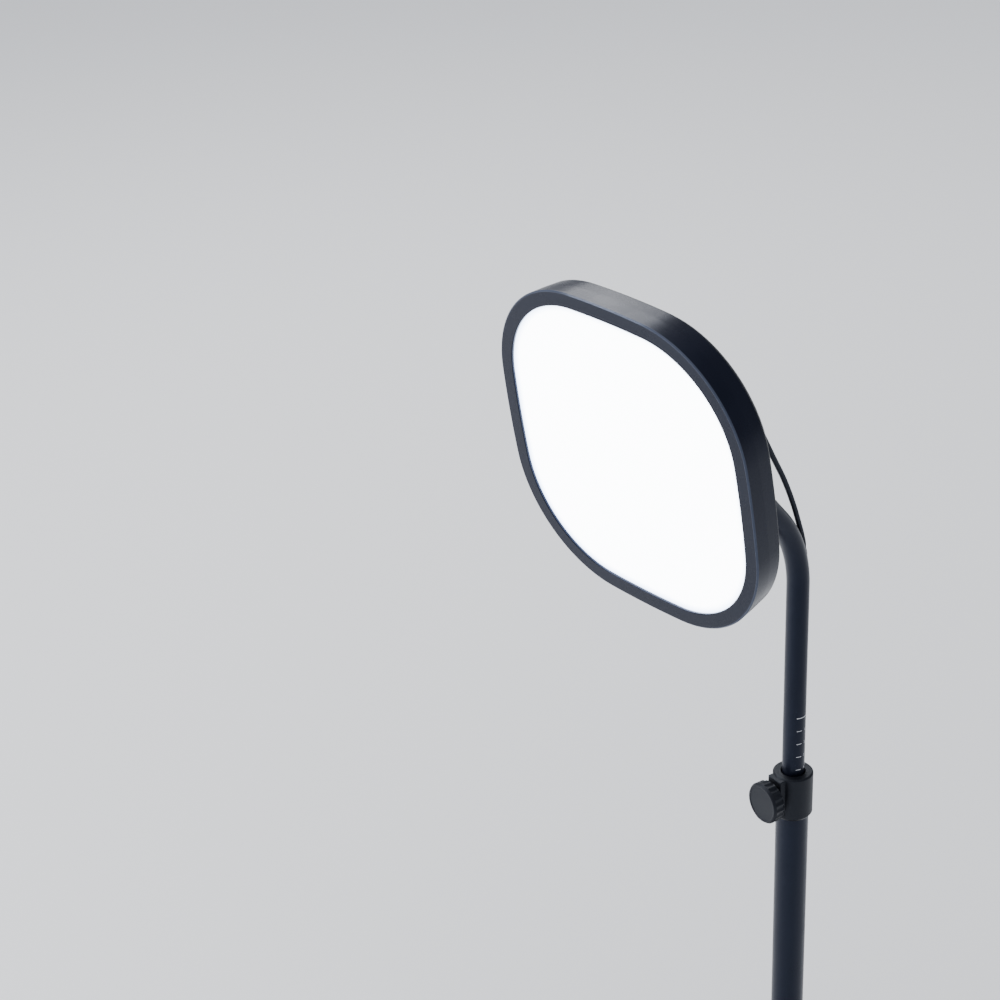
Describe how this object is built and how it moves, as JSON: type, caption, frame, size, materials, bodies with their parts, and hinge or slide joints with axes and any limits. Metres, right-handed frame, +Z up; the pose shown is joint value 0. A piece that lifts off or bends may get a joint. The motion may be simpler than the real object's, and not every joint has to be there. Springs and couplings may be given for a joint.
{
  "type": "led panel light",
  "caption": "Rounded square edge-lit LED panel on a ball head and a telescopic pole that bends forward, with a side clamp knob and a round weighted base.",
  "frame": {"origin": "middle of the base's underside, on the pole's axis", "axes": "+Z up along the pole; the panel faces -Y; +X is the side with the ball head's lock knob"},
  "size_m": [0.206, 0.2589, 0.7009],
  "materials": {
    "black_paint": "satin black powder coat",
    "black_plastic": "fine textured black moulding",
    "black_rubber": "matt black",
    "steel": "zinc plated",
    "brass": "turned",
    "aluminium": "rolled",
    "nylon": "natural",
    "opal": "opal white, lit from its edges",
    "circuit_board": "green solder mask"
  },
  "bodies": {
    "base": {"rubber_pad": "black_rubber", "base_weight": "steel", "base_cover": "black_paint", "pole_socket": "black_paint", "base_bolt": "steel", "base_washer": "steel", "lower_tube": "black_paint", "dc_inlet": "black_plastic", "inlet_nut": "steel", "coil_lead": "black_rubber", "clamp_collar": "black_plastic", "collar_liner": "nylon", "brake_shoe": "nylon"},
    "clamp": {"clamp_knob": "black_plastic", "clamp_screw": "steel"},
    "guide_bush": {"pole_guide_bush": "nylon"},
    "upper_pole": {"upper_tube": "black_paint", "lead_grommet": "black_rubber", "power_lead": "black_rubber", "inner_lead": "black_rubber", "pole_end_stud": "steel"},
    "head_housing": {"ball_housing": "black_paint", "ball_seat": "nylon"},
    "ball_lock": {"ball_lock_knob": "black_plastic", "ball_lock_screw": "steel"},
    "ball": {"ball_stud": "steel"},
    "lock_wheel": {"lock_wheel": "black_plastic"},
    "panel": {"front_frame": "black_paint", "diffuser_plate": "opal", "diffuser_film": "opal", "light_guide_plate": "opal", "reflector_sheet": "opal", "led_strip_1": "nylon", "led_strip_2": "nylon", "led_strip_3": "nylon", "led_strip_4": "nylon", "chassis_plate": "aluminium", "mount_insert": "brass", "control_board": "circuit_board", "driver_board": "circuit_board", "board_screw_1": "steel", "board_screw_2": "steel", "board_screw_3": "steel", "board_screw_4": "steel", "wifi_module": "steel", "tact_switch": "black_plastic", "inductor": "black_plastic", "capacitor": "aluminium", "rear_housing": "black_plastic", "rear_screw_1": "steel", "rear_screw_2": "steel", "rear_screw_3": "steel", "rear_screw_4": "steel", "dc_jack": "black_plastic", "dc_plug": "black_rubber", "switch_frame": "black_plastic"},
    "rocker": {"power_rocker": "black_plastic"},
    "reset": {"reset_button": "black_plastic"}
  },
  "joints": [
    {"name": "height_slide", "type": "slide", "parent": "base", "child": "guide_bush", "axis": [0, 0, 1], "range_m": [-0.036, 0.154], "deforming": ["coil_lead"]},
    {"name": "pole_turn", "type": "hinge", "parent": "guide_bush", "child": "upper_pole", "pos_m": [0, 0, 0.3], "axis": [0, 0, 1], "range_deg": [-170, 170]},
    {"name": "head_swivel", "type": "hinge", "parent": "upper_pole", "child": "head_housing", "pos_m": [0, -0.09896, 0.60683], "axis": [0, -0.6428, 0.766], "range_deg": [-60, 60]},
    {"name": "head_tilt", "type": "hinge", "parent": "head_housing", "child": "ball", "pos_m": [0, -0.09896, 0.60683], "axis": [1, 0, 0], "range_deg": [-57, 33], "deforming": ["power_lead"]},
    {"name": "panel_spin", "type": "hinge", "parent": "ball", "child": "panel", "pos_m": [0, -0.09896, 0.60683], "axis": [0, -0.987, -0.1609], "range_deg": [-45, 45]},
    {"name": "lock_wheel_turn", "type": "hinge", "parent": "ball", "child": "lock_wheel", "pos_m": [0, -0.09896, 0.60683], "axis": [0, -0.987, -0.1609], "continuous": true},
    {"name": "ball_lock_turn", "type": "hinge", "parent": "head_housing", "child": "ball_lock", "pos_m": [0, -0.09382, 0.6007], "axis": [1, 0, 0], "range_deg": [0, 270]},
    {"name": "clamp_knob_turn", "type": "hinge", "parent": "base", "child": "clamp", "pos_m": [0, 0, 0.3015], "axis": [-0.1219, -0.9925, 0], "range_deg": [0, 300]},
    {"name": "rocker_tilt", "type": "hinge", "parent": "panel", "child": "rocker", "pos_m": [-0.034, -0.13444, 0.6436], "axis": [0, -0.1609, 0.987], "range_deg": [-14, 0]},
    {"name": "reset_press", "type": "slide", "parent": "panel", "child": "reset", "axis": [0, -0.987, -0.1609], "range_m": [0, 0.0008], "stiffness_N_per_m": 400, "springref_m": -0.0005}
  ]
}
